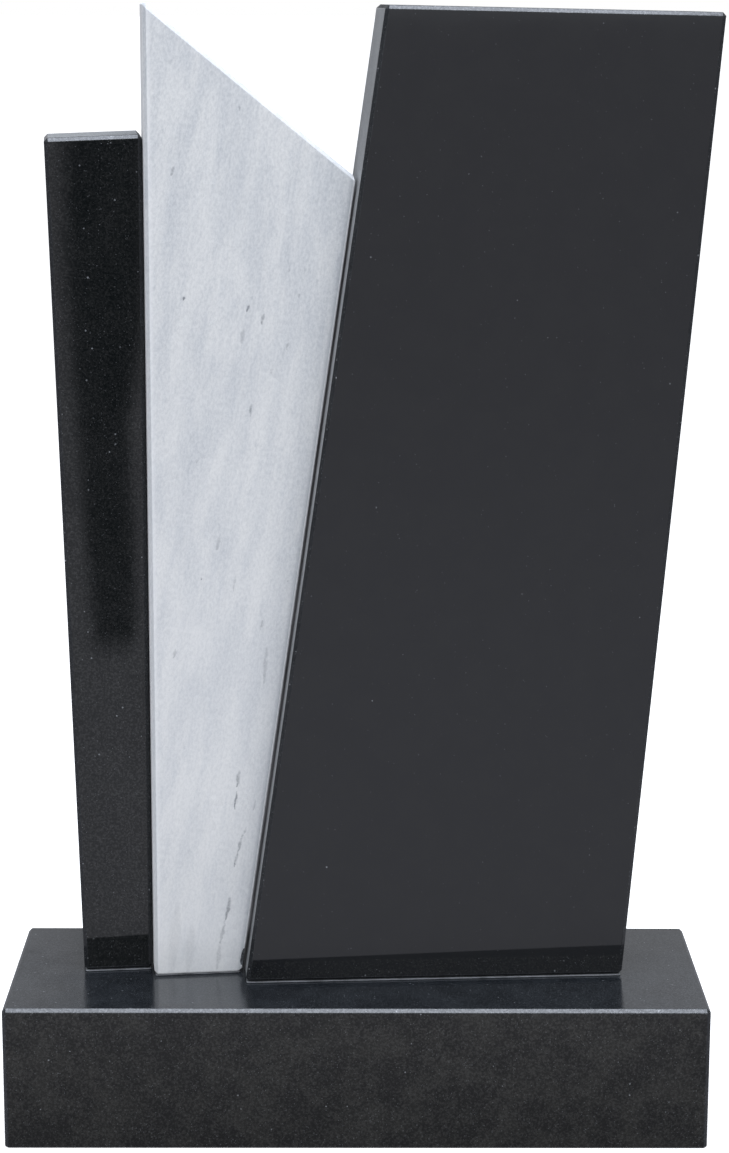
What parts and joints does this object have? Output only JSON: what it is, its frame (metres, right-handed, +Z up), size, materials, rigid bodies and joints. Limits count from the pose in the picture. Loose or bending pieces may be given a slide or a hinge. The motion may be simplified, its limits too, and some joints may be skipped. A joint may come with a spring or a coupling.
{
  "type": "headstone",
  "caption": "Modern headstone: black granite slabs and a pointed white marble slab standing side by side, slightly askew, on a low black granite plinth.",
  "frame": {"origin": "middle of the plinth's underside", "axes": "+Z up, the stones' front faces look towards -Y, +X to the right as a visitor sees it"},
  "size_m": [0.8012, 0.2818, 1.278],
  "materials": {
    "black_granite": "polished black granite with fine light specks",
    "white_marble": "polished white marble with soft grey veins",
    "setting_compound": "matt light grey setting compound"
  },
  "bodies": {
    "root": {"plinth": "black_granite", "left_stone": "black_granite", "marble_stone": "white_marble", "right_stone": "black_granite", "left_setting_bed": "setting_compound", "marble_setting_bed": "setting_compound", "right_setting_bed": "setting_compound"}
  },
  "joints": []
}
